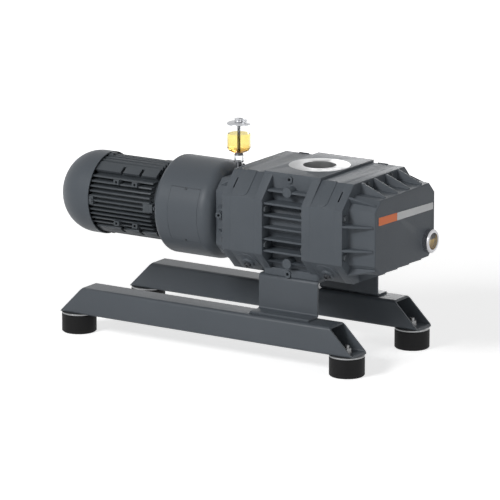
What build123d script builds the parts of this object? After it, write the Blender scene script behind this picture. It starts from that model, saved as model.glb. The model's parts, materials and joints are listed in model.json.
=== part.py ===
# Two-lobe rotary vacuum pump on two rails, driven by a flanged motor through a jaw coupling.
# X runs along the shafts (gear cover at +X, motor at -X), the front is -Y, Z is up. The origin
# is on the floor at the centre of the four feet. All sizes are in millimetres.

from build123d import *
from math import acos, asin, atan2, cos, hypot, pi, radians, sin, sqrt, tan
import os

# ---- driving dimensions: base ----
foot_pitch_x = 676.0          # foot centres along the rails
foot_pitch_y = 267.0          # foot centres across the pump, also the rail centres
foot_radius = 37.5
foot_height = 41.0
foot_plate_thickness = 3.0
foot_stud_radius = 5.0        # M10
foot_stud_length = 16.0       # above the rail's floor
foot_stud_clearance = 0.5     # round the stud, in the rail's floor
foot_hole_depth = 18.0        # threaded hole in the underside
rail_size = 60.0
rail_wall = 4.0
rail_corner = 7.0
rail_overhang = 32.0          # foot centre to the tip of the mitred end
bracket_length = 144.0
bracket_shift = 5.5           # front bracket towards the motor, back bracket away from it
bracket_sheet = 5.0
bracket_bend = 4.0            # inside radius of the bends
bracket_web_y = 115.0         # outer face of the upright web
bracket_foot_y = 150.0        # edge of the flange on the rail
bracket_top_y = 72.0          # inner edge of the flange under the casing
bracket_bolt_pitch = 96.0
bracket_bolt_radius = 5.0     # M10
bolt_clearance = 0.3          # round a bolt, in the piece it clamps

# ---- driving dimensions: pump shell ----
axis_height = 292.0
shell_width = 300.0
shell_height = 212.0
shell_chamfer = 48.0
casing_mid_x = 187.5
casing_length = 137.0
casing_flange = 20.0
casing_rise = 5.0             # casing top above the covers' top
casing_wall = 9.0
port_block_width = 214.0
inlet_radius = 35.0
inlet_land_radius = 65.0
outlet_radius = 30.0
outlet_land_radius = 62.0
port_land_height = 0.6
port_pocket_length = 76.0       # the port widens to this pocket where it meets the chambers
port_pocket_width = 74.0
port_pocket_corner = 12.0
port_pocket_roof = 3.0          # height of the pocket over the chambers
port_screw_circle = 110.0
port_screw_radius = 4.0       # M8, in the outlet flange
port_screw_depth = 14.0
casing_foot_drop = 2.0        # casing foot below the covers' underside
casing_foot_height = 16.0
casing_foot_width = 226.0
fin_pitch = 25.3
fin_thickness = 4.0
fin_inset = 6.0               # fin tips behind the flange faces
fin_boss_radius = 10.5
fin_boss_reach = 130.0
tapping_boss_radius = 8.0
tapping_boss_height = 3.5
tapping_hole_radius = 3.4
tapping_boss_width = 14.0
tapping_depth = 16.0
tapping_x_shift = -6.5
housing_length = 58.0
cover_flange = 20.0
motor_cover_depth = 32.0
gear_cover_depth = 63.0
cover_body_width = 250.0      # at the flange
cover_body_height = 165.0
cover_body_chamfer = 24.0
cover_draft = 3.5             # each side, over the gear cover's depth
cover_edge = 3.0
cover_wall = 8.0
rib_thickness = 4.5
rib_inset = 1.0               # rib foot behind the flange edge
side_rib_offset = 25.4
top_rib_offsets = (24.0, 74.0)
cover_bolt_radius = 4.0       # M8
side_bolt_y = 139.0
side_bolt_offset = 41.0
top_bolt_y = 47.0
top_bolt_offset = 94.0
casing_bolt_offset = 38.0
pry_slot_length = 26.0
pry_slot_width = 3.0
pad_rise = 1.5
chamfer_pad_width = 24.0
drain_pad_radius = 26.0
drain_boss_radius = 14.0
drain_boss_height = 6.0
drain_plug_radius = 7.0
drain_plug_height = 5.0
filler_plug_radius = 10.0
side_plug_radius = 9.0

# ---- driving dimensions: rotors, gears, bearings ----
rotor_distance = 90.0
rotor_clearance = 0.15        # each flank
bore_clearance = 0.2
end_clearance = 0.3
shaft_radius = 17.5
drive_nose_radius = 14.0
bearing_outer_radius = 36.0
bearing_width = 17.0
bearing_gap = 0.05            # running gap between the inner ring and the shields
seal_outer_radius = 26.0
seal_width = 8.0
shaft_gap = 0.5
gear_module = 3.0
gear_teeth = 30
gear_width = 24.0
gear_thinning = 0.12          # each flank, for backlash
gear_gap = 6.0                # gear to the bearing housing
gear_hub_radius = 26.0
gear_nut_radius = 25.0
gear_nut_width = 9.0
slinger_radius = 58.0
slinger_thickness = 3.0
slinger_gap = 10.0

# ---- driving dimensions: coupling and its housing ----
drum_inset = 0.5              # drum below the shell's top and above its underside
drum_wall = 9.0
drum_end_wall = 11.0
drum_left_x = -134.0
drum_right_fillet = 28.0
drum_left_fillet = 11.0
window_length = 62.0
window_half_angle = 30.0
window_x = -60.0
window_land = 6.0             # seat round the opening
window_plate = 4.0
window_gap = 0.5
drum_bolt_circle = 130.0
drum_bolt_count = 6
hub_radius = 32.0
hub_length = 40.0
jaw_length = 14.0
jaw_angle = 30.0
jaw_gap_angle = 2.0
jaw_inner_radius = 14.0
spider_gap = 0.4
coupling_x = -63.0            # middle of the spider

# ---- driving dimensions: motor ----
motor_shaft_radius = 12.0
motor_shaft_reach = 50.0
motor_spigot_radius = 55.0
motor_spigot_length = 4.0
motor_flange_radius = 80.0
motor_bolt_circle = 130.0
end_shield_length = 23.0
stator_length = 158.0
stator_outer_radius = 70.0
stator_bore_radius = 66.0
stator_fin_radius = 85.0
stator_fin_pitch = 10.0
stator_fin_thickness = 3.0
stator_side_fins = 5          # on each side of the middle fin
stator_top_fins = 3
stator_pad_angle = 55.5       # of the pad's middle above or below the side
stator_pad_distance = 84.0
stator_pad_width = 25.0
stator_pad_notch = 7.0
stator_notch_places = (0.42, 0.72)
stator_boss_margin = 3.0      # foot screw boss round each notch's line
stator_boss_reach = 80.0
stator_boss_hole_radius = 3.0
core_length = 100.0
core_radius = 45.0
core_gap = 0.4
winding_length = 18.0
winding_inner_radius = 48.0
motor_bearing_outer_radius = 26.0
motor_bearing_width = 15.0
rear_shield_length = 16.0
lug_width = 18.0
lug_reach = 87.0
lug_length = 15.0
cowl_lug_length = 11.0
tie_bolt_radius = 3.0
tie_bolt_circle = 80.0
cowl_radius = 89.5
cowl_sheet = 2.5
cowl_rim_x = -312.0
cowl_straight = 26.0
cowl_dome = 81.0
cowl_knuckle = 76.0             # radius where the rim turns into the dished end
cowl_flat_radius = 8.0          # flat in the middle of the dished end
cowl_slot_count = 12
cowl_slot_mid = 40.0
cowl_slot_length = 34.0
cowl_slot_width = 4.5
fan_radius = 78.0
fan_blades = 7
fan_width = 24.0
terminal_box_size = (112.0, 48.0, 92.0)
terminal_box_wall = 3.5
terminal_lid_thickness = 6.0
gland_radius = 11.0

# ---- driving dimensions: oil sight glass and drip oiler ----
sight_y = 95.0
sight_height = 248.0
sight_bezel_radius = 25.0
sight_bezel_height = 13.0
sight_lens_radius = 19.0
sight_lens_thickness = 5.0
oiler_x = 23.5
oiler_y = -58.0
oiler_base_radius = 6.0
oiler_sight_z = 403.0
oiler_sight_radius = 10.0
oiler_neck_z = 416.0
cup_bottom_z = 422.0
cup_radius = 25.0
cup_wall = 2.0
cup_bowl_rise = 9.0           # height of the rounded bottom
cup_top_z = 483.0
oil_level_z = 463.0
cap_top_z = 489.0
cap_neck_radius = 8.5
cap_head_z = 495.0
lever_radius = 1.6
lever_reach = 17.0
tube_radius = 3.2

# ---- positions worked out from the sizes above ----
drum_radius = shell_height / 2 - drum_inset
rail_floor_z = foot_height + foot_plate_thickness
rail_top_z = rail_floor_z + rail_size
casing_top_z = axis_height + shell_height / 2 + casing_rise
casing_foot_z = axis_height - shell_height / 2 - casing_foot_drop
casing_x0 = casing_mid_x - casing_length / 2
casing_x1 = casing_mid_x + casing_length / 2
left_housing_x = casing_x0 - housing_length
right_housing_x = casing_x1 + housing_length
left_flange_x = left_housing_x - cover_flange
right_flange_x = right_housing_x + cover_flange
motor_cover_x = left_flange_x - motor_cover_depth
gear_cover_x = right_flange_x + gear_cover_depth
drive_y = -rotor_distance / 2
driven_y = rotor_distance / 2
rotor_pitch_radius = rotor_distance / 2
rotor_tip_radius = rotor_pitch_radius * 1.5
chamber_radius = rotor_tip_radius + bore_clearance
gear_x = right_housing_x + gear_gap
gear_nut_x = gear_x + gear_width
slinger_x = gear_nut_x + gear_nut_width + slinger_gap
cover_body_top_z = axis_height + cover_body_height / 2
drum_right_x = motor_cover_x
stator_x1 = drum_left_x - end_shield_length
stator_x0 = stator_x1 - stator_length
cowl_end_x = cowl_rim_x - cowl_straight - cowl_dome
rear_shield_x = stator_x0 - rear_shield_length
terminal_box_x = (stator_x0 + stator_x1) / 2
fan_x = rear_shield_x - 4.0 - fan_width
motor_shaft_x = fan_x - 4.0


# ---- helpers ----
def across(x, y=0.0, z=0.0):
    """Plane facing +X, with local x along +Y and local y along +Z."""
    return Plane(origin=(x, y, z), x_dir=(0, 1, 0), z_dir=(1, 0, 0))


def bar(x0, x1, face, y=0.0, z=axis_height):
    return extrude(across(x0, y, z) * face, x1 - x0, dir=(1, 0, 0))


def rod(x0, x1, radius, y=drive_y, z=axis_height):
    return bar(x0, x1, Circle(radius), y, z)


def ring(x0, x1, outer, inner, y=drive_y, z=axis_height):
    return bar(x0, x1, Circle(outer) - Circle(inner), y, z)


def slab(x0, x1, y0, y1, z0, z1):
    return Pos((x0 + x1) / 2, (y0 + y1) / 2, (z0 + z1) / 2) * Box(x1 - x0, y1 - y0, z1 - z0)


def post(x, y, z0, z1, radius):
    return Pos(x, y, (z0 + z1) / 2) * Cylinder(radius, z1 - z0)


def turned(points, y=drive_y, z=axis_height):
    """Solid turned about the X line through (y, z); the points are (x, radius)."""
    plane = Plane(origin=(0, y, z), x_dir=(1, 0, 0), z_dir=(0, -1, 0))
    return revolve(plane * Polygon(*points, align=None), Axis((0, y, z), (1, 0, 0)), 360)


def turned_upright(points, x, y):
    """Solid turned about the vertical line through (x, y); the points are (radius, z)."""
    plane = Plane(origin=(x, y, 0), x_dir=(1, 0, 0), z_dir=(0, -1, 0))
    return revolve(plane * Polygon(*points, align=None), Axis((x, y, 0), (0, 0, 1)), 360)


def octagon(width, height, corner):
    """Rectangle with four equal corners cut at 45 degrees, centred."""
    w, h = width / 2, height / 2
    return Polygon(
        (-w, -h + corner), (-w + corner, -h), (w - corner, -h), (w, -h + corner),
        (w, h - corner), (w - corner, h), (-w + corner, h), (-w, h - corner), align=None)


def sector(inner, outer, start, end):
    """Annular sector in the (y, z) plane, angles in degrees from +Y towards +Z."""
    reach = outer * 1.5
    steps = [start + (end - start) * k / 4 for k in range(5)]
    rim = [(reach * cos(radians(a)), reach * sin(radians(a))) for a in steps]
    return (Circle(outer) - Circle(inner)) & Polygon((0, 0), *rim, align=None)


def group(solids):
    """Several separate solids kept in one node."""
    return Compound([s for item in solids for s in item.solids()])


def facing(origin, direction):
    return Plane(origin=origin, z_dir=direction)


def hex_head(place, radius):
    """Hexagon head standing on the plane; the size across flats follows the thread."""
    return extrude(place * RegularPolygon(radius * 1.62, 6, major_radius=False), radius * 1.3)


def hex_bolt(place, radius, length):
    return hex_head(place, radius) + extrude(place * Circle(radius), -length)


def hole(place, radius, depth):
    return extrude(place * Circle(radius), -depth)


# ---- base ----
def rail(y):
    x_end = foot_pitch_x / 2 + rail_overhang
    outer = RectangleRounded(rail_size, rail_size, rail_corner)
    inner_corner = max(rail_corner - rail_wall, 1.0)
    inner = RectangleRounded(rail_size - 2 * rail_wall, rail_size - 2 * rail_wall, inner_corner)
    z_mid = rail_floor_z + rail_size / 2
    tube = bar(-x_end, x_end, outer - inner, y, z_mid)
    for side in (-1, 1):
        cut = Plane(origin=(side * x_end, y, rail_floor_z), x_dir=(0, 1, 0), z_dir=(side, 0, 1))
        tube -= extrude(cut * Rectangle(rail_size * 2, rail_size * 4), rail_size * 2)
        floor = Plane.XY.offset(rail_floor_z + rail_wall)
        place = floor * Pos(side * foot_pitch_x / 2, y)
        tube -= hole(place, foot_stud_radius + foot_stud_clearance, rail_wall * 1.5)
    return tube


def foot_places():
    return [(sx * foot_pitch_x / 2, sy * foot_pitch_y / 2) for sx in (-1, 1) for sy in (-1, 1)]


def rubber_feet():
    edge = 2.0
    profile = [
        (foot_stud_radius, 0), (foot_radius - edge, 0), (foot_radius, edge),
        (foot_radius, foot_height - edge), (foot_radius - edge, foot_height), (0, foot_height),
        (0, foot_hole_depth), (foot_stud_radius, foot_hole_depth)]
    return group([turned_upright(profile, x, y) for x, y in foot_places()])


def foot_plates():
    return group([post(x, y, foot_height, rail_floor_z, foot_radius) for x, y in foot_places()])


def foot_nuts():
    """Nut screwed down on the stud, both seen through the open rail end."""
    floor_z = rail_floor_z + rail_wall
    nuts = []
    for x, y in foot_places():
        place = facing((x, y, floor_z), (0, 0, 1))
        stud = post(x, y, rail_floor_z, floor_z + foot_stud_length, foot_stud_radius)
        washer = post(x, y, floor_z, floor_z + 2.0, foot_stud_radius * 2)
        nut = extrude(place.offset(2.0) * RegularPolygon(foot_stud_radius * 1.7, 6, major_radius=False), 8.0)
        nuts.append(stud + washer + nut)
    return group(nuts)


def bracket(side):
    """Bent sheet: a flange on the rail, an upright web and a flange under the casing foot."""
    t, z0, z1 = bracket_sheet, rail_top_z, casing_foot_z
    web, foot, top = bracket_web_y, bracket_foot_y, bracket_top_y
    outline = [(foot, z0), (foot, z0 + t), (web, z0 + t), (web, z1), (top, z1), (top, z1 - t),
               (web - t, z1 - t), (web - t, z0)]
    face = Polygon(*[(side * y, z) for y, z in outline], align=None)
    inner = [(web, z0 + t), (web - t, z1 - t)]
    outer = [(web, z1), (web - t, z0)]
    for corners, radius in ((inner, bracket_bend), (outer, bracket_bend + t)):
        picked = [v for v in face.vertices()
                  if any(hypot(abs(v.X) - y, v.Y - z) < 0.01 for y, z in corners)]
        face = fillet(picked, radius)
    mid = casing_mid_x + side * bracket_shift
    sheet = bar(mid - bracket_length / 2, mid + bracket_length / 2, face, 0, 0)
    for place in bracket_bolt_places(side):
        sheet -= hole(place, bracket_bolt_radius + bolt_clearance, t * 2)
    return sheet


def bracket_bolt_places(side):
    y = side * (bracket_top_y + bracket_web_y - bracket_sheet) / 2
    mid = casing_mid_x + side * bracket_shift
    return [facing((mid + k * bracket_bolt_pitch / 2, y, casing_foot_z - bracket_sheet), (0, 0, -1))
            for k in (-1, 1)]


def bracket_bolts():
    depth = bracket_sheet + casing_foot_height * 0.75
    return group([hex_bolt(place, bracket_bolt_radius, depth)
                  for side in (-1, 1) for place in bracket_bolt_places(side)])


# ---- pump shell ----
def shell_block(x0, x1):
    return bar(x0, x1, octagon(shell_width, shell_height, shell_chamfer))


def casing_profile(inset=0.0):
    """Octagon of the casing's end flanges, which rises above the covers' top."""
    w = shell_width / 2 - inset
    low = -shell_height / 2 + inset
    high = shell_height / 2 + casing_rise - inset
    side = shell_height / 2 - shell_chamfer
    top = shell_width / 2 - shell_chamfer
    return Polygon((-w, -side), (-top, low), (top, low), (w, -side),
                   (w, side), (top, high), (-top, high), (-w, side), align=None)


def chamber(x0, x1, radius):
    lobes = Pos(drive_y, 0) * Circle(radius) + Pos(driven_y, 0) * Circle(radius)
    return bar(x0, x1, lobes)


def casing_fins():
    fins = []
    space = bar(casing_x0 + casing_flange, casing_x1 - casing_flange, casing_profile(fin_inset))
    for k in range(-3, 4):
        z = axis_height + k * fin_pitch
        fins.append(space & slab(casing_x0, casing_x1, -shell_width, shell_width,
                                 z - fin_thickness / 2, z + fin_thickness / 2))
    return fins


def port_screw_places():
    r = port_screw_circle / 2 / sqrt(2)
    return [facing((casing_mid_x + a * r, b * r, casing_foot_z - port_land_height), (0, 0, -1))
            for a in (-1, 1) for b in (-1, 1)]


def cylinder_casing():
    x0, x1, w = casing_x0, casing_x1, port_block_width / 2
    body = bar(x0, x0 + casing_flange, casing_profile()) + bar(x1 - casing_flange, x1, casing_profile())
    outer = chamber_radius + casing_wall
    body += chamber(x0, x1, outer) + bar(x0, x1, Rectangle(rotor_distance, outer * 2))
    body += slab(x0, x1, -w, w, casing_foot_z, casing_top_z)
    foot = RectangleRounded(casing_length, casing_foot_width, 8.0)
    body += extrude(Plane.XY.offset(casing_foot_z) * Pos(casing_mid_x, 0) * foot, casing_foot_height)
    for fin in casing_fins():
        body += fin
    tapping_zs = ((casing_top_z - 12.0, w), (casing_foot_z + 6.0, casing_foot_width / 2))
    for side in (-1, 1):
        for k in (-3, 3):
            start = facing((casing_mid_x, side * w * 0.8, axis_height + k * fin_pitch), (0, side, 0))
            body += extrude(start * Circle(fin_boss_radius), fin_boss_reach - w * 0.8)
    for z, reach in tapping_zs:
        face = facing((casing_mid_x + tapping_x_shift, -reach, z), (0, -1, 0))
        boss = Circle(tapping_boss_radius) & Rectangle(4 * tapping_boss_radius, tapping_boss_width)
        body += extrude(face * boss, tapping_boss_height)
        body -= hole(face.offset(tapping_boss_height), tapping_hole_radius, tapping_depth)
    inlet_z, outlet_z = casing_top_z + port_land_height, casing_foot_z - port_land_height
    body += post(casing_mid_x, 0, casing_top_z, inlet_z, inlet_land_radius)
    body += post(casing_mid_x, 0, outlet_z, casing_foot_z, outlet_land_radius)
    body -= chamber(x0, x1, chamber_radius)
    body -= post(casing_mid_x, 0, axis_height, inlet_z, inlet_radius)
    body -= post(casing_mid_x, 0, outlet_z, axis_height, outlet_radius)
    pocket = RectangleRounded(port_pocket_length, port_pocket_width, port_pocket_corner)
    reach = chamber_radius + port_pocket_roof
    body -= extrude(Plane.XY.offset(axis_height - reach) * Pos(casing_mid_x, 0) * pocket, 2 * reach)
    gauge = facing((casing_mid_x, 0, casing_top_z - 11.0), (0.55, 0.84, 0))
    body -= extrude(gauge.offset(inlet_radius - 4.0) * Circle(2.6), 14.0)
    for place in port_screw_places():
        body -= hole(place, port_screw_radius, port_screw_depth)
    for place in bracket_bolt_places(-1) + bracket_bolt_places(1):
        body -= hole(place.offset(-bracket_sheet), bracket_bolt_radius, casing_foot_height * 0.8)
    for place in casing_bolt_places():
        body -= hole(place, cover_bolt_radius, casing_flange)
    return body


def casing_bolt_places():
    """Bolts from the casing flanges outwards into the bearing housings."""
    places = []
    for y in (-side_bolt_y, side_bolt_y):
        for dz in (-casing_bolt_offset, casing_bolt_offset):
            z = axis_height + dz
            places.append(facing((casing_x0 + casing_flange, y, z), (1, 0, 0)))
            places.append(facing((casing_x1 - casing_flange, y, z), (-1, 0, 0)))
    return places


def casing_bolts():
    return group([hex_bolt(p, cover_bolt_radius, casing_flange + 14.0) for p in casing_bolt_places()])


def cover_bolt_places(x, direction):
    spots = [(sy * side_bolt_y, sz * side_bolt_offset) for sy in (-1, 1) for sz in (-1, 1)]
    spots += [(sy * top_bolt_y, sz * top_bolt_offset) for sy in (-1, 1) for sz in (-1, 1)]
    return [facing((x, y, axis_height + dz), (direction, 0, 0)) for y, dz in spots]


def cover_bolts(x, direction):
    return group([hex_bolt(p, cover_bolt_radius, cover_flange + 16.0)
                  for p in cover_bolt_places(x, direction)])


def chamfer_plane(x, side_y, side_z, out=0.0, along=0.0):
    """Plane on a 45 degree corner face of the shell, moved outwards and along the slope towards Z."""
    y = side_y * (shell_width - shell_chamfer) / 2 - side_y * along / sqrt(2)
    z = axis_height + side_z * (shell_height - shell_chamfer) / 2 + side_z * along / sqrt(2)
    plane = Plane(origin=(x, y, z), x_dir=(1, 0, 0), z_dir=(0, side_y, side_z))
    return plane.offset(out)


def bearing_housing(x0, x1, outer_x, inward):
    """Block between casing and cover with two bearing seats, oil spaces and seal seats."""
    body = shell_block(x0, x1)
    mid = (x0 + x1) / 2
    slope = shell_chamfer * sqrt(2)
    for sy in (-1, 1):
        pad = SlotOverall(slope * 1.3, chamfer_pad_width, rotation=90)
        upper = chamfer_plane(mid - 4.0, sy, 1, 0.0, slope * 0.2)
        body += extrude(upper * pad, pad_rise) & shell_block_tall(x0, x1)
    lower = chamfer_plane(mid, -1, -1)
    body += extrude(lower * Circle(drain_pad_radius), pad_rise) & bar(
        x0, x1, octagon(shell_width + 9, shell_height, shell_chamfer + 1))
    drain = drain_place(mid)
    body += extrude(drain.offset(-drain_boss_height) * Circle(drain_boss_radius), drain_boss_height)
    body -= hole(drain, drain_plug_radius * 0.7, 24.0)
    filler = chamfer_plane(mid, 1, 1, pad_rise)
    body -= hole(filler, filler_plug_radius * 0.7, 24.0)
    seat_end = outer_x + inward * bearing_width
    seal_x = (casing_x0 - 7.0 - seal_width) if inward > 0 else (casing_x1 + 7.0 + seal_width)
    for y in (drive_y, driven_y):
        body -= rod(*sorted((outer_x, seat_end)), bearing_outer_radius, y)
        body -= rod(*sorted((seat_end, seal_x)), bearing_outer_radius - 5.0, y)
        body -= rod(*sorted((seal_x, seal_x + inward * seal_width)), seal_outer_radius, y)
        body -= rod(x0, x1, shaft_radius + shaft_gap, y)
    faces = [p for p in casing_bolt_places() if x0 - 40 < p.origin.X < x1 + 40]
    for place in faces:
        body -= hole(place, cover_bolt_radius, casing_flange + 14.0)
    for place in cover_bolt_places(outer_x, -inward):
        body -= hole(place, cover_bolt_radius, 16.0)
    return body


def shell_block_tall(x0, x1):
    return bar(x0, x1, octagon(shell_width + 2, shell_height + 2 * pad_rise, shell_chamfer - 2))


def pry_slots(x, inward):
    """Narrow slots on the upper corner faces, for levering the cover off."""
    cuts = []
    for sy in (-1, 1):
        plane = chamfer_plane(x + inward * pry_slot_width / 2, sy, 1)
        cuts.append(extrude(plane * Rectangle(pry_slot_width, pry_slot_length), -4.0))
    return cuts


def cover_body(x_root, x_end, draft):
    """Raised middle of a cover: an octagonal block that narrows towards its end face."""
    root = across(x_root, 0, axis_height) * octagon(cover_body_width, cover_body_height, cover_body_chamfer)
    end = across(x_end, 0, axis_height) * octagon(
        cover_body_width - 2 * draft, cover_body_height - 2 * draft, cover_body_chamfer - draft * 0.5)
    return loft([root.faces()[0], end.faces()[0]])


def rib(origin_y, origin_dz, outward, reach, x_flange, x_tip, sink):
    """Gusset from the flange's edge down to the cover body; outward is a (y, z) direction."""
    oy, oz = outward
    length = hypot(oy, oz)
    oy, oz = oy / length, oz / length
    direction = 1 if x_tip > x_flange else -1
    plane = Plane(origin=(x_flange, origin_y, axis_height + origin_dz), x_dir=(direction, 0, 0),
                  z_dir=(0, -oz * direction, oy * direction))
    run = abs(x_tip - x_flange)
    face = Polygon((0, -sink), (0, reach), (3.0, reach), (run, -0.5), (run, -sink), align=None)
    return extrude(plane * face, rib_thickness / 2, both=True)


def cover_ribs(x_flange, x_tip, draft):
    w, h = cover_body_width / 2, cover_body_height / 2
    sink = draft + 3.0
    ribs = []
    for s in (-1, 1):
        for dz in (-side_rib_offset, side_rib_offset):
            ribs.append(rib(s * w, dz, (s, 0), shell_width / 2 - w - rib_inset, x_flange, x_tip, sink))
        for y in top_rib_offsets:
            for t in (-1, 1):
                ribs.append(rib(t * y, s * h, (0, s), (shell_height - cover_body_height) / 2 - rib_inset,
                                x_flange, x_tip, sink))
        for t in (-1, 1):
            half = cover_body_chamfer / 2
            shell_sum, body_sum = (shell_width + shell_height) / 2 - shell_chamfer, w + h - cover_body_chamfer
            reach = (shell_sum - body_sum) / sqrt(2)
            ribs.append(rib(t * (w - half), s * (h - half), (t, s), reach - rib_inset, x_flange, x_tip, sink))
    return ribs


def motor_side_cover():
    x0, x1 = left_flange_x, left_housing_x
    body = shell_block(x0, x1)
    body += cover_body(x0, motor_cover_x, 1.0)
    for item in cover_ribs(x0, motor_cover_x + 6.0, 1.0):
        body += item
    plug = side_plug_place()
    body += extrude(plug.offset(-16.0) * Circle(side_plug_radius), 20.0)
    for cut in pry_slots(x1, -1):
        body -= cut
    body -= rod(motor_cover_x, x1, shaft_radius + shaft_gap)
    body -= rod(motor_cover_x, motor_cover_x + seal_width, seal_outer_radius)
    body -= rod(x1 - 10.0, x1, shaft_radius + 6.0, driven_y)
    for place in cover_bolt_places(x0, -1):
        body -= hole(place, cover_bolt_radius + bolt_clearance, cover_flange)
        body -= extrude(place * Circle(cover_bolt_radius * 2.1), cover_bolt_radius * 1.6)
    for place in drum_bolt_places():
        body -= hole(place.offset(-drum_end_wall), cover_bolt_radius, 14.0)
    body -= post(oiler_x, oiler_y, axis_height, cover_body_top_z, 2.5)
    body -= hole(plug.offset(4.0), side_plug_radius * 0.6, 14.0)
    return body


def side_plug_place():
    return facing((motor_cover_x + 10.0, -cover_body_width / 2 + 1.0, axis_height + 7.0), (0, -1, 0))


def side_plug():
    place = side_plug_place().offset(4.0)
    cap = extrude(place * Circle(side_plug_radius - 1.5), 3.0)
    return cap + hole(place, side_plug_radius * 0.6, 12.0) - hole(place.offset(3.0), 3.0, 8.0)


def gear_cover():
    x0, x1 = right_housing_x, right_flange_x
    body = shell_block(x0, x1)
    raised = cover_body(x1, gear_cover_x, cover_draft)
    rim = [e for e in raised.edges() if abs(e.center().X - gear_cover_x) < 0.01]
    body += fillet(rim, cover_edge)
    for item in cover_ribs(x1, gear_cover_x - 5.0, cover_draft):
        body += item
    inner = octagon(cover_body_width - 2 * (cover_wall + cover_draft),
                    cover_body_height - 2 * (cover_wall + cover_draft), cover_body_chamfer * 0.7)
    body -= bar(x0, gear_cover_x - cover_wall, inner)
    for cut in pry_slots(x0, 1):
        body -= cut
    for place in cover_bolt_places(x1, 1):
        body -= hole(place, cover_bolt_radius + bolt_clearance, cover_flange)
        body -= extrude(place * Circle(cover_bolt_radius * 2.1), cover_bolt_radius * 1.6)
    body -= rod(gear_cover_x - cover_wall, gear_cover_x, sight_lens_radius - 3.0, sight_y, sight_height)
    return body


def plug_on(place, radius, height):
    """Threaded plug with a socket in its head, standing on the plane."""
    head = extrude(place * Circle(radius), height)
    key = RegularPolygon(radius * 0.45, 6, major_radius=False)
    socket = extrude(place.offset(height) * key, -height * 0.7)
    return head + hole(place, radius * 0.7, 14.0) - socket


def housing_mids():
    return (casing_x0 - housing_length / 2, casing_x1 + housing_length / 2)


def drain_place(x):
    return chamfer_plane(x, -1, -1, drain_boss_height, 5.0)


def drain_plugs():
    return group([plug_on(drain_place(x), drain_plug_radius, drain_plug_height) for x in housing_mids()])


def filler_plugs():
    return group([plug_on(chamfer_plane(x, 1, 1, pad_rise), filler_plug_radius, drain_plug_height)
                  for x in housing_mids()])


# ---- rotors and what turns with them ----
def lobe_outline(start_angle):
    """Cycloidal two-lobe profile, moved inwards by the running clearance."""
    rp = rotor_pitch_radius
    rg = rp / 4
    steps = 10

    def on_profile(t):
        quarter = int(t // (pi / 2)) % 2
        base = (t // (pi / 2)) * pi / 2
        u = t - base
        if quarter == 0:
            x, y = (rp + rg) * cos(u) - rg * cos(5 * u), (rp + rg) * sin(u) - rg * sin(5 * u)
        else:
            x, y = (rp - rg) * cos(u) + rg * cos(3 * u), (rp - rg) * sin(u) - rg * sin(3 * u)
        turn = base + start_angle
        return x * cos(turn) - y * sin(turn), x * sin(turn) + y * cos(turn)

    arcs = []
    for q in range(4):
        points = []
        for k in range(steps + 1):
            t = q * pi / 2 + (pi / 2) * k / steps
            t = min(max(t, q * pi / 2 + 1e-6), (q + 1) * pi / 2 - 1e-6)
            ax, ay = on_profile(max(t - 1e-4, q * pi / 2 + 1e-9))
            bx, by = on_profile(min(t + 1e-4, (q + 1) * pi / 2 - 1e-9))
            x, y = on_profile(t)
            d = hypot(bx - ax, by - ay)
            nx, ny = -(by - ay) / d, (bx - ax) / d
            points.append((x + nx * rotor_clearance, y + ny * rotor_clearance))
        arcs.append(points)
    for q in range(4):
        arcs[q][-1] = arcs[(q + 1) % 4][0]
    return arcs


def lobed_rotor(y, tip_angle, x_start, x_end, nose):
    """Rotor body with its shaft; tip_angle is where one lobe points, from +Y towards +Z."""
    edges = []
    for points in lobe_outline(radians(tip_angle) - pi / 4):
        edges.append(Spline(*points))
    face = make_face(Wire(edges))
    body = bar(casing_x0 + end_clearance, casing_x1 - end_clearance, face, y)
    body += rod(x_start, x_end, shaft_radius, y)
    if nose:
        body += rod(nose, x_start, drive_nose_radius, y)
    return body


def drive_rotor():
    return lobed_rotor(drive_y, 0, motor_cover_x + seal_width + 8.0, gear_nut_x + gear_nut_width,
                       coupling_x + jaw_length / 2 + 10.0)


def driven_rotor():
    return lobed_rotor(driven_y, 90, left_housing_x - 6.0, slinger_x + slinger_thickness, None)


def gear_outline(offset_angle):
    """Involute teeth as one closed polygon about the centre."""
    pitch = gear_module * gear_teeth / 2
    pressure = radians(20)
    base = pitch * cos(pressure)
    root = pitch - 1.25 * gear_module
    tip = pitch + gear_module
    at_pitch = pi / (2 * gear_teeth) + tan(pressure) - pressure - gear_thinning / pitch
    radii = (root, base + 0.4, pitch + 0.3, tip)

    def half_angle(r):
        a = acos(min(base / r, 1.0))
        return at_pitch - (tan(a) - a)

    points = []
    for k in range(gear_teeth):
        mid = offset_angle + 2 * pi * k / gear_teeth
        for r in radii:
            points.append((r, mid - half_angle(r)))
        for r in reversed(radii):
            points.append((r, mid + half_angle(r)))
    return [(r * cos(a), r * sin(a)) for r, a in points]


def timing_gear(y, offset_angle):
    face = Polygon(*gear_outline(offset_angle), align=None) - Circle(shaft_radius)
    web = gear_width / 3
    gear = bar(gear_x, gear_x + gear_width, face, y)
    groove = Circle(gear_module * gear_teeth / 2 - 10.0) - Circle(gear_hub_radius)
    gear -= bar(gear_x, gear_x + web, groove, y) + bar(gear_x + 2 * web, gear_x + gear_width, groove, y)
    return gear


def gear_nut(y):
    nut = ring(gear_nut_x, gear_nut_x + gear_nut_width, gear_nut_radius, shaft_radius, y)
    for k in range(4):
        notch = Pos(gear_nut_radius * cos(k * pi / 2), gear_nut_radius * sin(k * pi / 2)) * Rectangle(7, 7)
        nut -= bar(gear_nut_x, gear_nut_x + gear_nut_width, notch, y)
    return nut


def oil_slinger():
    dish = [(slinger_x, shaft_radius), (slinger_x + slinger_thickness, shaft_radius),
            (slinger_x + slinger_thickness, slinger_radius), (slinger_x, slinger_radius)]
    disc = turned(dish, driven_y)
    hub_face = (gear_nut_x + gear_nut_width, slinger_x)
    return disc + ring(*hub_face, shaft_radius + 4.0, shaft_radius, driven_y)


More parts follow.
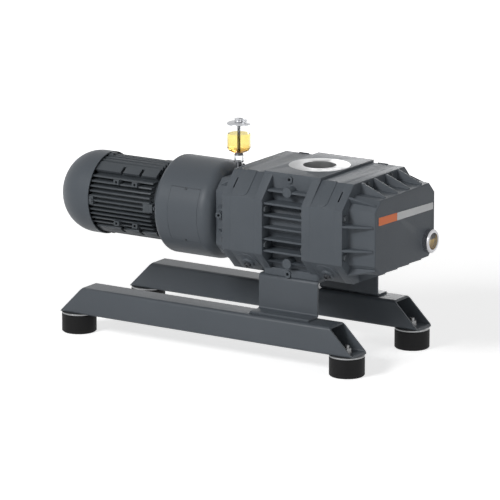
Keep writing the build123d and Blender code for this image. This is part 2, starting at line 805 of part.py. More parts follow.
def bearing_seats():
    """(x0, x1) of the two bearings that carry each rotor."""
    return ((left_housing_x, left_housing_x + bearing_width),
            (right_housing_x - bearing_width, right_housing_x))


def inner_ring(x0, x1, bore, outer, y):
    race = bore + (outer - bore) * 0.3
    return ring(x0, x1, race, bore, y)


def outer_ring(x0, x1, bore, outer, y):
    """Outer ring with both shields, which run close round the inner ring."""
    race = bore + (outer - bore) * 0.3 + bearing_gap
    track = outer - (outer - bore) * 0.3
    shield = 1.5
    profile = [(x0, race), (x0, outer), (x1, outer), (x1, race), (x1 - shield, race),
               (x1 - shield, track), (x0 + shield, track), (x0 + shield, race)]
    return turned(profile, y)


def rotor_inner_rings(y):
    return group([inner_ring(a, b, shaft_radius, bearing_outer_radius, y) for a, b in bearing_seats()])


def rotor_outer_rings():
    return group([outer_ring(a, b, shaft_radius, bearing_outer_radius, y)
                  for y in (drive_y, driven_y) for a, b in bearing_seats()])


def seal(x0, shaft, y):
    """Lip seal: a cup with a lip that runs on the shaft."""
    x1 = x0 + seal_width
    lip = shaft + 0.08
    profile = [(x0, seal_outer_radius), (x1, seal_outer_radius), (x1, seal_outer_radius - 2.0),
               (x0 + 2.5, seal_outer_radius - 2.0), (x0 + 2.5, lip + 2.0), (x1 - 1.5, lip), (x0, lip)]
    return turned(profile, y)


def shaft_seals():
    seals = [seal(motor_cover_x, drive_nose_radius, drive_y)]
    for y in (drive_y, driven_y):
        seals.append(seal(casing_x0 - 7.0 - seal_width, shaft_radius, y))
        seals.append(seal(casing_x1 + 7.0, shaft_radius, y))
    return group(seals)


# ---- jaw coupling ----
def hub_jaws(x0, x1, start):
    return [bar(x0, x1, sector(jaw_inner_radius, hub_radius, start + k * 120 - jaw_angle / 2,
                               start + k * 120 + jaw_angle / 2), drive_y) for k in range(3)]


def pump_coupling_hub():
    x0 = coupling_x + jaw_length / 2
    hub = ring(x0, x0 + hub_length, hub_radius, drive_nose_radius)
    for jaw in hub_jaws(x0 - jaw_length + 1.0, x0, 0):
        hub += jaw
    return hub


def motor_coupling_hub():
    x1 = coupling_x - jaw_length / 2
    hub = ring(x1 - hub_length, x1, hub_radius, motor_shaft_radius)
    for jaw in hub_jaws(x1, x1 + jaw_length - 1.0, 60):
        hub += jaw
    return hub


def coupling_spider():
    """Elastic star between the jaws, carried by the motor hub."""
    x0, x1 = coupling_x - jaw_length / 2, coupling_x + jaw_length / 2 - spider_gap
    face = Circle(jaw_inner_radius - spider_gap)
    arm = 60 - jaw_angle - 2 * jaw_gap_angle
    for k in range(6):
        mid = 30 + 60 * k
        face += sector(jaw_inner_radius - 2.0, hub_radius - 0.5, mid - arm / 2, mid + arm / 2)
    return bar(x0, x1, face - Circle(5.0), drive_y)


def drum_bolt_places():
    """Screws inside the coupling housing that hold it to the motor-side cover."""
    r = drum_bolt_circle / 2
    angles = [30 + 360 * k / drum_bolt_count for k in range(drum_bolt_count)]
    return [facing((drum_right_x - drum_end_wall, drive_y + r * cos(radians(a)),
                    axis_height + r * sin(radians(a))), (-1, 0, 0)) for a in angles]


def motor_bolt_places():
    r = motor_bolt_circle / 2 / sqrt(2)
    return [facing((drum_left_x + drum_end_wall, drive_y + a * r, axis_height + b * r), (1, 0, 0))
            for a in (-1, 1) for b in (-1, 1)]


def coupling_housing():
    outer = rod(drum_left_x, drum_right_x, drum_radius)
    ends = outer.edges().filter_by(GeomType.CIRCLE)
    outer = fillet([e for e in ends if e.center().X > 0], drum_right_fillet)
    left = [e for e in outer.edges().filter_by(GeomType.CIRCLE) if abs(e.center().X - drum_left_x) < 0.01]
    outer = fillet(left, drum_left_fillet)
    inner = rod(drum_left_x + drum_end_wall, drum_right_x - drum_end_wall, drum_radius - drum_wall)
    deep = [e for e in inner.edges().filter_by(GeomType.CIRCLE) if e.center().X > drum_left_x + 20]
    inner = fillet(deep, drum_right_fillet - drum_wall)
    body = outer - inner
    body -= rod(drum_left_x, drum_left_x + drum_end_wall, motor_spigot_radius)
    body -= rod(drum_right_x - drum_end_wall, drum_right_x, seal_outer_radius + 12.0)
    half = window_length / 2
    for mid in (0, 180):
        through = sector(drum_radius - 2 * drum_wall, drum_radius + 5, mid - window_half_angle,
                         mid + window_half_angle)
        body -= bar(window_x - half, window_x + half, through, drive_y)
        seat = sector(drum_radius - window_plate, drum_radius + 5, *window_span(mid, 0.0))
        body -= bar(window_x - half - window_land, window_x + half + window_land, seat, drive_y)
    for place in drum_bolt_places() + motor_bolt_places():
        body -= hole(place, cover_bolt_radius + bolt_clearance, drum_end_wall)
    for place in window_screw_places():
        body -= hole(place, 2.0, 8.0)
    return body


def window_span(mid, gap):
    """Angles of the inspection cover, in degrees, drawn in by a gap along the rim."""
    extra = (window_land - gap) / drum_radius * 180 / pi
    return mid - window_half_angle - extra, mid + window_half_angle + extra


def inspection_cover(mid):
    half = window_length / 2 + window_land - window_gap
    plate = sector(drum_radius - window_plate, drum_radius, *window_span(mid, window_gap))
    body = bar(window_x - half, window_x + half, plate, drive_y)
    for place in window_screw_places():
        body -= hole(place, 2.2, 8.0)
    return body


def window_screw_places():
    places = []
    for mid in (0, 180):
        for s in (-1, 1):
            a = radians(mid + s * (window_half_angle + window_land / 2 / drum_radius * 180 / pi))
            origin = (window_x, drive_y + drum_radius * cos(a), axis_height + drum_radius * sin(a))
            places.append(facing(origin, (0, cos(a), sin(a))))
    return places


def inspection_screws():
    return group([extrude(p * Circle(2.8), 1.5) + hole(p, 2.0, 8.0)
                  - extrude(p.offset(1.5) * Rectangle(8.0, 1.0), -0.8) for p in window_screw_places()])


def drum_bolts():
    return group([hex_bolt(p, cover_bolt_radius, drum_end_wall + 14.0) for p in drum_bolt_places()])


# ---- motor ----
def motor_bolts():
    return group([hex_bolt(p, cover_bolt_radius, drum_end_wall + 14.0) for p in motor_bolt_places()])


def drive_end_shield():
    x0, x1 = stator_x1, drum_left_x
    seat = x0 + motor_bearing_width
    r = motor_flange_radius
    profile = [(x0, stator_outer_radius), (x1 - 10.0, stator_outer_radius + 4.0), (x1 - 8.0, r), (x1, r),
               (x1, motor_spigot_radius), (x1 + motor_spigot_length, motor_spigot_radius),
               (x1 + motor_spigot_length, motor_shaft_radius + shaft_gap),
               (seat, motor_shaft_radius + shaft_gap), (seat, motor_bearing_outer_radius),
               (x0, motor_bearing_outer_radius)]
    body = turned(profile)
    for a in range(4):
        body += motor_lug(x0, x0 + lug_length * 0.6, a * 90)
        body -= hole(tie_bolt_place(x0 + lug_length * 0.6, a * 90, 1), tie_bolt_radius + 0.2, 20.0)
    for place in motor_bolt_places():
        body -= hole(place.offset(-drum_end_wall), cover_bolt_radius, 14.0)
    return body


def motor_lug(x0, x1, angle):
    inner = stator_bore_radius + 2.0
    face = Pos((inner + lug_reach) / 2, 0) * Rectangle(lug_reach - inner, lug_width)
    return bar(x0, x1, Rot(0, 0, angle) * face, drive_y)


def tie_bolt_place(x, angle, direction):
    a = radians(angle)
    return facing((x, drive_y + tie_bolt_circle * cos(a), axis_height + tie_bolt_circle * sin(a)),
                  (direction, 0, 0))


def tie_bolts():
    front = [hex_bolt(tie_bolt_place(stator_x1 + lug_length * 0.6, a * 90, 1), tie_bolt_radius, 20.0)
             for a in range(4)]
    return group(front)


def stator_pad_angles():
    return [base + sign * stator_pad_angle for base in (0, 180) for sign in (-1, 1)]


def stator_section():
    face = Circle(stator_outer_radius)
    rim = Circle(stator_fin_radius)
    for k in range(-stator_side_fins, stator_side_fins + 1):
        fin = Pos(0, k * stator_fin_pitch) * Rectangle(2 * stator_fin_radius, stator_fin_thickness)
        face += fin & rim
    for k in range(-stator_top_fins, stator_top_fins + 1):
        fin = Pos(k * stator_fin_pitch, 0) * Rectangle(stator_fin_thickness, 2 * stator_fin_radius)
        face += fin & rim
    deep = stator_pad_distance - stator_outer_radius + 4.0
    for a in stator_pad_angles():
        pad = Pos(stator_pad_distance - 3.0, 0) * Rectangle(6.0, stator_pad_width)
        legs = [Pos(stator_pad_distance - deep / 2, s * (stator_pad_width / 2 - 4.0)) * Rectangle(deep, 4.0)
                for s in (-1, 1)]
        for item in [pad] + legs:
            face += Rot(0, 0, a) * item
    return face - Circle(stator_bore_radius)


def stator_foot_bosses(x):
    """Screw bosses between the fins beside each pad, where feet can be bolted on."""
    x0, x1 = x - stator_boss_margin, x + stator_pad_notch + stator_boss_margin
    low, high = 4 * stator_fin_pitch, 5 * stator_fin_pitch
    bosses = []
    for sy in (-1, 1):
        for sz in (-1, 1):
            ys = sorted((drive_y + sy * (stator_outer_radius - 20.0), drive_y + sy * stator_boss_reach))
            z_a, z_b = sorted((axis_height + sz * low, axis_height + sz * high))
            place = facing(((x0 + x1) / 2, drive_y + sy * stator_boss_reach, (z_a + z_b) / 2), (0, sy, 0))
            boss = slab(x0, x1, *ys, z_a, z_b)
            bosses.append(boss - hole(place, stator_boss_hole_radius, 12.0))
    return bosses


def stator_housing():
    body = bar(stator_x0, stator_x1, stator_section(), drive_y)
    for share in stator_notch_places:
        for boss in stator_foot_bosses(stator_x0 + stator_length * share):
            body += boss
    body -= rod(stator_x0, stator_x1, stator_bore_radius)
    for a in range(4):
        body += motor_lug(stator_x1 - lug_length, stator_x1, a * 90)
        body += motor_lug(cowl_rim_x, cowl_rim_x + cowl_lug_length, a * 90)
        body -= hole(tie_bolt_place(stator_x1, a * 90, 1), tie_bolt_radius, 12.0)
    for share in stator_notch_places:
        x = stator_x0 + stator_length * share
        for a in stator_pad_angles():
            towards_side = -1 if (a % 180) < 90 else 1
            notch = Rectangle(16.0, stator_pad_width * 0.8)
            notch = Pos(stator_pad_distance, towards_side * stator_pad_width * 0.2) * notch
            body -= bar(x, x + stator_pad_notch, Rot(0, 0, a) * notch, drive_y)
    return body


def stator_core():
    mid = (stator_x0 + stator_x1) / 2
    face = Circle(stator_bore_radius) - Circle(core_radius + core_gap)
    for k in range(12):
        slot = Pos(core_radius + 9.0, 0) * Rectangle(14.0, 7.0)
        face -= Rot(0, 0, k * 30) * slot
    return bar(mid - core_length / 2, mid + core_length / 2, face, drive_y)


def stator_windings():
    mid = (stator_x0 + stator_x1) / 2
    ends = []
    for s in (-1, 1):
        a, b = mid + s * core_length / 2, mid + s * (core_length / 2 + winding_length)
        head = ring(min(a, b), max(a, b), stator_bore_radius - 4.0, winding_inner_radius)
        ends.append(fillet([e for e in head.edges().filter_by(GeomType.CIRCLE)
                            if abs(e.center().X - b) < 0.01], 3.0))
    return group(ends)


def rotor_core():
    mid = (stator_x0 + stator_x1) / 2
    return ring(mid - core_length / 2, mid + core_length / 2, core_radius, motor_shaft_radius + 2.0)


def motor_bearing_seats():
    return ((rear_shield_x + 1.0, rear_shield_x + 1.0 + motor_bearing_width),
            (stator_x1, stator_x1 + motor_bearing_width))


def motor_shaft():
    mid = (stator_x0 + stator_x1) / 2
    shaft = rod(motor_shaft_x, drum_left_x + motor_shaft_reach, motor_shaft_radius)
    return shaft + rod(mid - core_length / 2 - 6.0, mid + core_length / 2 + 6.0, motor_shaft_radius + 2.0)


def motor_inner_rings():
    return group([inner_ring(a, b, motor_shaft_radius, motor_bearing_outer_radius, drive_y)
                  for a, b in motor_bearing_seats()])


def motor_outer_rings():
    return group([outer_ring(a, b, motor_shaft_radius, motor_bearing_outer_radius, drive_y)
                  for a, b in motor_bearing_seats()])


def rear_end_shield():
    x0, x1 = rear_shield_x, stator_x0
    profile = [(x0, motor_shaft_radius + shaft_gap), (x0, 34.0), (x1 - 6.0, stator_outer_radius),
               (x1, stator_outer_radius), (x1, motor_bearing_outer_radius),
               (x0 + 1.0, motor_bearing_outer_radius), (x0 + 1.0, motor_shaft_radius + shaft_gap)]
    return turned(profile)


def cooling_fan():
    hub = ring(fan_x, fan_x + fan_width, 20.0, motor_shaft_radius)
    disc = ring(fan_x + fan_width - 3.0, fan_x + fan_width, fan_radius - 8.0, 19.0)
    fan = hub + disc
    for k in range(fan_blades):
        blade = Pos((19.0 + fan_radius) / 2, 0) * Rectangle(fan_radius - 19.0, 2.5)
        fan += bar(fan_x, fan_x + fan_width, Rot(0, 0, 360 * k / fan_blades) * blade, drive_y)
    return fan


def cowl_profile(radius, depth, knuckle):
    """Half section of the cowl's outside or inside: straight rim, knuckle arc, crown arc and small flat."""
    x = cowl_rim_x - cowl_straight
    spread, lift = radius - knuckle, depth - knuckle
    back = (spread ** 2 - lift ** 2) / (2 * lift)
    crown = depth + back
    joint, tip = atan2(spread, back), asin(cowl_flat_radius / crown)

    def on_arc(centre_back, centre_up, arc_radius, angle):
        return x + centre_back - arc_radius * cos(angle), centre_up + arc_radius * sin(angle)

    meet, flat = on_arc(back, 0.0, crown, joint), on_arc(back, 0.0, crown, tip)
    edges = Polyline((x, radius), (cowl_rim_x, radius), (cowl_rim_x, 0.0), (flat[0], 0.0), flat)
    edges += ThreePointArc(flat, on_arc(back, 0.0, crown, (joint + tip) / 2), meet)
    edges += ThreePointArc(meet, on_arc(0.0, spread, knuckle, (joint + pi / 2) / 2), (x, radius))
    return make_face(edges)


def fan_cowl():
    """Pressed sheet cowl: a short straight rim and a dished end with a ring of air slots."""
    plane = Plane(origin=(0, drive_y, axis_height), x_dir=(1, 0, 0), z_dir=(0, -1, 0))
    axis = Axis((0, drive_y, axis_height), (1, 0, 0))
    inner = cowl_profile(cowl_radius - cowl_sheet, cowl_dome - cowl_sheet, cowl_knuckle - cowl_sheet)
    cowl = revolve(plane * cowl_profile(cowl_radius, cowl_dome, cowl_knuckle), axis, 360)
    cowl -= revolve(plane * inner, axis, 360)
    for k in range(cowl_slot_count):
        slot = Pos(cowl_slot_mid, 0) * SlotOverall(cowl_slot_length, cowl_slot_width)
        turned_slot = Rot(0, 0, 360 * (k + 0.5) / cowl_slot_count) * slot
        cowl -= bar(cowl_end_x, cowl_rim_x - cowl_straight, turned_slot, drive_y)
    return cowl


def cowl_screws():
    screws = []
    for a in range(4):
        angle = radians(a * 90)
        out = (0, cos(angle), sin(angle))
        y, z = drive_y + lug_reach * cos(angle), axis_height + lug_reach * sin(angle)
        origin = (cowl_rim_x + cowl_lug_length / 2, y, z)
        screws.append(extrude(facing(origin, out) * Circle(4.0), 2.0))
    return group(screws)


def terminal_box():
    lx, ly, lz = terminal_box_size
    y0 = drive_y + stator_fin_radius - 3.0
    body = slab(terminal_box_x - lx / 2, terminal_box_x + lx / 2, y0, y0 + ly,
                axis_height - lz / 2, axis_height + lz / 2)
    body = fillet(body.edges().filter_by(Axis.Y), 6.0)
    w = terminal_box_wall
    body -= slab(terminal_box_x - lx / 2 + w, terminal_box_x + lx / 2 - w, y0 + w, y0 + ly,
                 axis_height - lz / 2 + w, axis_height + lz / 2 - w)
    body -= rod(stator_x0, stator_x1, stator_fin_radius)
    body -= post(terminal_box_x, y0 + ly / 2, axis_height - lz, axis_height - lz / 2 + w, gland_radius * 0.7)
    return body


def terminal_lid():
    lx, ly, lz = terminal_box_size
    y0 = drive_y + stator_fin_radius - 3.0 + ly
    lid = slab(terminal_box_x - lx / 2 - 1, terminal_box_x + lx / 2 + 1, y0, y0 + terminal_lid_thickness,
               axis_height - lz / 2 - 1, axis_height + lz / 2 + 1)
    lid = fillet(lid.edges().filter_by(Axis.Y), 7.0)
    return fillet(lid.faces().sort_by(Axis.Y)[-1].edges(), 2.5)


def cable_gland():
    _, ly, lz = terminal_box_size
    y = drive_y + stator_fin_radius - 3.0 + ly / 2
    z = axis_height - lz / 2
    place = facing((terminal_box_x, y, z), (0, 0, -1))
    gland = extrude(place * RegularPolygon(gland_radius * 1.1, 6, major_radius=False), 6.0)
    gland += extrude(place.offset(6.0) * Circle(gland_radius), 9.0)
    gland += hole(place, gland_radius * 0.7, terminal_box_wall)
    return gland - hole(place.offset(15.0), 3.5, 20.0)


# ---- oil sight glass ----
def sight_glass_bezel():
    x0, r = gear_cover_x, sight_bezel_radius
    lip = sight_lens_radius
    profile = [(x0, r), (x0 + sight_bezel_height - 2.0, r), (x0 + sight_bezel_height, r - 2.0),
               (x0 + sight_bezel_height, lip - 1.0), (x0 + sight_lens_thickness, lip - 1.0),
               (x0 + sight_lens_thickness, lip), (x0, lip)]
    return turned(profile, sight_y, sight_height)


def sight_glass_lens():
    return rod(gear_cover_x, gear_cover_x + sight_lens_thickness, sight_lens_radius, sight_y, sight_height)


# ---- drip oiler ----
def oiler_base():
    r, s = oiler_base_radius, oiler_sight_radius
    z0 = cover_body_top_z
    profile = [(tube_radius, z0), (r + 5, z0), (r + 5, z0 + 5), (r, z0 + 6), (r, oiler_sight_z - 3),
               (s, oiler_sight_z - 2), (s, oiler_sight_z), (tube_radius, oiler_sight_z)]
    body = turned_upright(profile, oiler_x, oiler_y)
    side = facing((oiler_x + r - 1.0, oiler_y, oiler_sight_z - 7.0), (1, 0, 0))
    return body + extrude(side * Circle(1.8), 7.0) + extrude(side.offset(5.0) * Circle(3.5), 3.0)


def oiler_sight_tube():
    s = oiler_sight_radius
    profile = [(s - 2.5, oiler_sight_z), (s, oiler_sight_z), (s, oiler_neck_z), (s - 2.5, oiler_neck_z)]
    return turned_upright(profile, oiler_x, oiler_y)


def oiler_collar():
    s = oiler_sight_radius
    profile = [(tube_radius, oiler_neck_z), (s, oiler_neck_z), (s - 1.5, oiler_neck_z + 3),
               (s - 1.5, cup_bottom_z), (tube_radius, cup_bottom_z)]
    return turned_upright(profile, oiler_x, oiler_y)


def oiler_cup():
    """Glass cup with a bowl-shaped bottom, open at the top under the cap."""
    r, z0, rise = cup_radius, cup_bottom_z, cup_bowl_rise
    w = cup_wall
    profile = [(tube_radius, z0), (r * 0.6, z0 + 1.0), (r * 0.86, z0 + rise * 0.5), (r, z0 + rise + 1.0),
               (r, cup_top_z), (r - w, cup_top_z), (r - w, z0 + rise + w), (r * 0.82, z0 + rise * 0.5 + w),
               (r * 0.58, z0 + 1.0 + w), (tube_radius, z0 + w)]
    return turned_upright(profile, oiler_x, oiler_y)


def oiler_oil():
    r, z0, rise = cup_radius - cup_wall, cup_bottom_z + cup_wall, cup_bowl_rise
    profile = [(tube_radius, z0), (cup_radius * 0.58, z0 + 1.0), (cup_radius * 0.82, z0 + rise * 0.5),
               (r, z0 + rise), (r, oil_level_z), (tube_radius, oil_level_z)]
    return turned_upright(profile, oiler_x, oiler_y)


def oiler_tube():
    profile = [(1.2, cup_bottom_z), (tube_radius, cup_bottom_z), (tube_radius, cup_top_z), (1.2, cup_top_z)]
    return turned_upright(profile, oiler_x, oiler_y)


def oiler_cap():
    r, n = cup_radius + 0.6, cap_neck_radius
    head = cap_head_z
    profile = [(0, cup_top_z), (r - 0.6, cup_top_z), (r, cup_top_z + 0.6), (r - 0.4, cup_top_z + 2.0),
               (r - 2.4, cup_top_z + 3.8), (r * 0.72, cap_top_z - 1.0), (n, cap_top_z), (n - 0.6, head - 3.5),
               (n + 1.4, head - 2), (n + 1.4, head - 0.5), (n + 0.6, head), (0, head)]
    body = turned_upright(profile, oiler_x, oiler_y)
    return body - slab(oiler_x, oiler_x + 30, oiler_y - 2.4, oiler_y + 2.4, head - 6.0, head + 1.0)


def lever_pivot():
    return oiler_x + 6.0, oiler_y, cap_head_z - 2.8


def oiler_lever():
    """Snap lever of the drip valve: lies flat when shut, stands up when open."""
    x, y, z = lever_pivot()
    tip = oiler_x + lever_reach
    arm = slab(x, tip, y - lever_radius, y + lever_radius, z - lever_radius, z + lever_radius)
    hub = Pos(x, y, z) * Rot(90, 0, 0) * Cylinder(2.4, 4.0)
    knob = Pos(tip, y, z) * Sphere(2.8)
    return arm + hub + knob - Pos(x, y, z) * Rot(90, 0, 0) * Cylinder(0.85, 10.0)


def oiler_lever_pin():
    x, y, z = lever_pivot()
    return Pos(x, y, z) * Rot(90, 0, 0) * Cylinder(0.8, 4.8)


# ---- all nodes ----
def build_nodes():
    phase = pi / gear_teeth
    return {
        "front_rail": rail(-foot_pitch_y / 2),
        "back_rail": rail(foot_pitch_y / 2),
        "rubber_feet": rubber_feet(),
        "foot_plates": foot_plates(),
        "foot_nuts": foot_nuts(),
        "front_bracket": bracket(-1),
        "back_bracket": bracket(1),
        "bracket_bolts": bracket_bolts(),
        "cylinder_casing": cylinder_casing(),
        "casing_bolts": casing_bolts(),
        "motor_side_housing": bearing_housing(left_housing_x, casing_x0, left_housing_x, 1),
        "gear_side_housing": bearing_housing(casing_x1, right_housing_x, right_housing_x, -1),
        "motor_side_cover": motor_side_cover(),
        "gear_cover": gear_cover(),
        "motor_cover_bolts": cover_bolts(left_flange_x, -1),
        "gear_cover_bolts": cover_bolts(right_flange_x, 1),
        "side_plug": side_plug(),
        "drain_plugs": drain_plugs(),
        "filler_plugs": filler_plugs(),
        "drive_rotor": drive_rotor(),
        "driven_rotor": driven_rotor(),
        "drive_timing_gear": timing_gear(drive_y, 0.0),
        "driven_timing_gear": timing_gear(driven_y, phase),
        "drive_gear_nut": gear_nut(drive_y),
        "driven_gear_nut": gear_nut(driven_y),
        "oil_slinger": oil_slinger(),
        "drive_inner_rings": rotor_inner_rings(drive_y),
        "driven_inner_rings": rotor_inner_rings(driven_y),
        "rotor_outer_rings": rotor_outer_rings(),
        "shaft_seals": shaft_seals(),
        "coupling_housing": coupling_housing(),
        "front_inspection_cover": inspection_cover(180),
        "back_inspection_cover": inspection_cover(0),
        "inspection_screws": inspection_screws(),
        "coupling_housing_bolts": group([drum_bolts(), motor_bolts()]),
        "pump_coupling_hub": pump_coupling_hub(),
        "coupling_spider": coupling_spider(),
        "motor_coupling_hub": motor_coupling_hub(),
        "drive_end_shield": drive_end_shield(),
        "motor_screws": group([tie_bolts(), cowl_screws()]),
        "stator_housing": stator_housing(),
        "stator_core": stator_core(),
        "stator_windings": stator_windings(),
        "motor_rotor_core": rotor_core(),
        "motor_shaft": motor_shaft(),
        "motor_inner_rings": motor_inner_rings(),
        "motor_outer_rings": motor_outer_rings(),
        "rear_end_shield": rear_end_shield(),
        "cooling_fan": cooling_fan(),
        "fan_cowl": fan_cowl(),
        "terminal_box": terminal_box(),
        "terminal_box_lid": terminal_lid(),
        "cable_gland": cable_gland(),
        "sight_glass_bezel": sight_glass_bezel(),
        "sight_glass_lens": sight_glass_lens(),
        "oiler_base": group([oiler_base(), oiler_collar() + oiler_tube()]),
        "oiler_glass": group([oiler_sight_tube(), oiler_cup()]),
        "oiler_oil": oiler_oil(),
        "oiler_cap": group([oiler_cap(), oiler_lever_pin()]),
        "oiler_lever": oiler_lever(),
    }


os.makedirs("parts", exist_ok=True)
nodes = build_nodes()
for name, shape in nodes.items():
    export_step(shape, f"parts/{name}.step")
print(len(nodes), "nodes written")
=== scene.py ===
import bpy
import bmesh
import json
from math import cos, pi, radians, sin
from mathutils import Matrix, Vector


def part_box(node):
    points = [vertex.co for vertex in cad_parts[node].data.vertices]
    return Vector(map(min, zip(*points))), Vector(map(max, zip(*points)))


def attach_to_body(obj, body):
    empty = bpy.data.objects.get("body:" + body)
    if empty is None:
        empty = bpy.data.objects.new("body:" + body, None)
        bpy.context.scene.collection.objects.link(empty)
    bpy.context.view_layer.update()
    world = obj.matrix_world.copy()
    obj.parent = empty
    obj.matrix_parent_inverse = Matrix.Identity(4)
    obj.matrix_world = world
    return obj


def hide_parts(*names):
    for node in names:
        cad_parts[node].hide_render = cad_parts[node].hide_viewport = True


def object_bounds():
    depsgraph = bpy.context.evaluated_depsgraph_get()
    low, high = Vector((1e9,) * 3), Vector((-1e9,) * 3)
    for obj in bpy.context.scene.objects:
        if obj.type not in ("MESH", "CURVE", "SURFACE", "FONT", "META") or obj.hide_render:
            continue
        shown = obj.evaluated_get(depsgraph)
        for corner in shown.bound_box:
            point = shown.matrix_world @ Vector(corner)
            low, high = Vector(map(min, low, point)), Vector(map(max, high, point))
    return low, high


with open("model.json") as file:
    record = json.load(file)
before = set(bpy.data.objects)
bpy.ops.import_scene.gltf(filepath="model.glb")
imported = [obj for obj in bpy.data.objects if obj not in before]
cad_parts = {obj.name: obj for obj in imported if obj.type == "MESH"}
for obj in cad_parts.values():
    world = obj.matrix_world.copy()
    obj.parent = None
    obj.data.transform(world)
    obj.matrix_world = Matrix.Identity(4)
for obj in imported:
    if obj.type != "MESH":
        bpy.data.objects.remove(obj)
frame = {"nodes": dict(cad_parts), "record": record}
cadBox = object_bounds()
print("frame loaded:", len(frame["nodes"]), "nodes")

scene = bpy.context.scene
mm = 0.001

cameraSpec = {"azimuth": 32.579, "elevation": 13.602, "distance": 8.70495, "right": 0.01199, "up": 0.18962,
              "lens": 292.15, "sensor": 36.0, "farEnd": 60.0}

# direction points from the pump to the lamp, power is in watts
lampSpec = {
    "frontBox": {"direction": (-0.20, -0.82, 0.52), "distance": 4.2, "size": (1.3, 1.0), "power": 88.0},
    "lowFrontBox": {"direction": (0.10, -1.00, 0.05), "distance": 4.6, "size": (2.4, 1.0), "power": 11.0},
    "rightBox": {"direction": (1.00, -0.22, 0.22), "distance": 4.2, "size": (1.8, 1.6), "power": 24.0},
    "backBox": {"direction": (-0.30, 1.00, 0.22), "distance": 4.4, "size": (1.8, 1.4), "power": 42.0}}

# the floor glows where it is seen directly or in reflections, and this glow is painted light that grows with
# distance from the pump: white far out, where it also hides the shadow, and dimmer near the pump, where the real
# shadow stays
floorSpec = {"size": 60.0, "gap": 0.0004, "color": (0.88, 0.88, 0.88), "lift": 0.70,
             "farLift": 1.0, "nearReach": 0.9, "farReach": 1.7}
worldSpec = {"color": (1.0, 1.0, 1.0), "ambient": 0.06, "seen": 1.0}


def placed(name, data):
    made = bpy.data.objects.new(name, data)
    scene.collection.objects.link(made)
    return made


def addCamera(spec):
    az, el = radians(spec["azimuth"]), radians(spec["elevation"])
    right = Vector((cos(az), sin(az), 0))
    back = Vector((sin(az) * cos(el), -cos(az) * cos(el), sin(el)))
    up = back.cross(right)
    data = bpy.data.cameras.new("viewCamera")
    data.lens = spec["lens"]
    data.sensor_width = spec["sensor"]
    data.clip_end = spec["farEnd"]
    place = Matrix((right, up, back)).transposed().to_4x4()
    place.translation = right * spec["right"] + up * spec["up"] + back * spec["distance"]
    camera = placed("viewCamera", data)
    camera.matrix_world = place
    scene.camera = camera


def aimed(direction, distance, target):
    back = Vector(direction).normalized()
    right = Vector((0, 0, 1)).cross(back).normalized()
    place = Matrix((right, back.cross(right), back)).transposed().to_4x4()
    place.translation = target + back * distance
    return place


def addLamps(specs):
    centre = (cadBox[0] + cadBox[1]) / 2
    for name, spec in specs.items():
        data = bpy.data.lights.new(name, "AREA")
        data.shape = "RECTANGLE"
        data.size, data.size_y = spec["size"]
        data.energy = spec["power"]
        placed(name, data).matrix_world = aimed(spec["direction"], spec["distance"], centre)


# a node with its settings, and its inputs linked or set
def node(tree, kind, settings=None, inputs=None):
    made = tree.nodes.new(kind)
    for key, value in (settings or {}).items():
        setattr(made, key, value)
    for key, value in (inputs or {}).items():
        if isinstance(value, bpy.types.NodeSocket):
            tree.links.new(value, made.inputs[key])
        else:
            made.inputs[key].default_value = value
    return made


def calc(tree, operation, first, second=0.0):
    return node(tree, "ShaderNodeMath", {"operation": operation}, {0: first, 1: second}).outputs[0]


def ranged(tree, value, low, high, fromLow=0.0, fromHigh=1.0):
    return node(tree, "ShaderNodeMapRange", None,
                {"Value": value, 1: fromLow, 2: fromHigh, 3: low, 4: high}).outputs[0]


def seenRays(tree):
    path = node(tree, "ShaderNodeLightPath")
    first = calc(tree, "MAXIMUM", path.outputs["Is Camera Ray"], path.outputs["Is Glossy Ray"])
    return calc(tree, "MAXIMUM", first, path.outputs["Is Transmission Ray"])


def addWorld(spec):
    world = bpy.data.worlds.new("studio")
    scene.world = world
    world.use_nodes = True
    tree = world.node_tree
    tree.nodes.clear()
    strength = ranged(tree, seenRays(tree), spec["ambient"], spec["seen"])
    shade = node(tree, "ShaderNodeBackground", None, {"Color": (*spec["color"], 1), "Strength": strength})
    node(tree, "ShaderNodeOutputWorld", None, {"Surface": shade.outputs[0]})


def addFloor(spec):
    mesh = bpy.data.meshes.new("studioFloor")
    half = spec["size"] / 2
    z = -spec["gap"]
    corners = [(-half, -half, z), (half, -half, z), (half, half, z), (-half, half, z)]
    mesh.from_pydata(corners, [], [(0, 1, 2, 3)])
    floor = placed("studioFloor", mesh)
    mat = bpy.data.materials.new("studioFloor")
    mat.use_nodes = True
    tree = mat.node_tree
    tree.nodes.clear()
    where = node(tree, "ShaderNodeTexCoord").outputs["Object"]
    away = node(tree, "ShaderNodeVectorMath", {"operation": "LENGTH"}, {0: where}).outputs["Value"]
    # painted light: the floor's glow is dimmer near the pump and white away from it
    paintedGlow = ranged(tree, away, spec["lift"], spec["farLift"], spec["nearReach"], spec["farReach"])
    lift = calc(tree, "MULTIPLY", seenRays(tree), paintedGlow)
    matte = node(tree, "ShaderNodeBsdfDiffuse", None, {"Color": (*spec["color"], 1)})
    glow = node(tree, "ShaderNodeEmission", None, {"Color": (1, 1, 1, 1), "Strength": lift})
    both = node(tree, "ShaderNodeAddShader", None, {0: matte.outputs[0], 1: glow.outputs[0]})
    node(tree, "ShaderNodeOutputMaterial", None, {"Surface": both.outputs[0]})
    mesh.materials.append(mat)


addCamera(cameraSpec)
addLamps(lampSpec)
addWorld(worldSpec)
addFloor(floorSpec)
scene.view_settings.view_transform = "Standard"
print("camera, lamps and floor placed")


def startMaterial(name):
    mat = bpy.data.materials.new(name)
    mat.use_nodes = True
    tree = mat.node_tree
    tree.nodes.clear()
    shader = node(tree, "ShaderNodeBsdfPrincipled")
    node(tree, "ShaderNodeOutputMaterial", None, {"Surface": shader.outputs[0]})
    where = node(tree, "ShaderNodeTexCoord").outputs["Object"]
    return mat, tree, shader, where


def noise(tree, where, scale, detail=2.0, rough=0.5):
    return node(tree, "ShaderNodeTexNoise", None,
                {"Vector": where, "Scale": scale, "Detail": detail, "Roughness": rough}).outputs["Fac"]


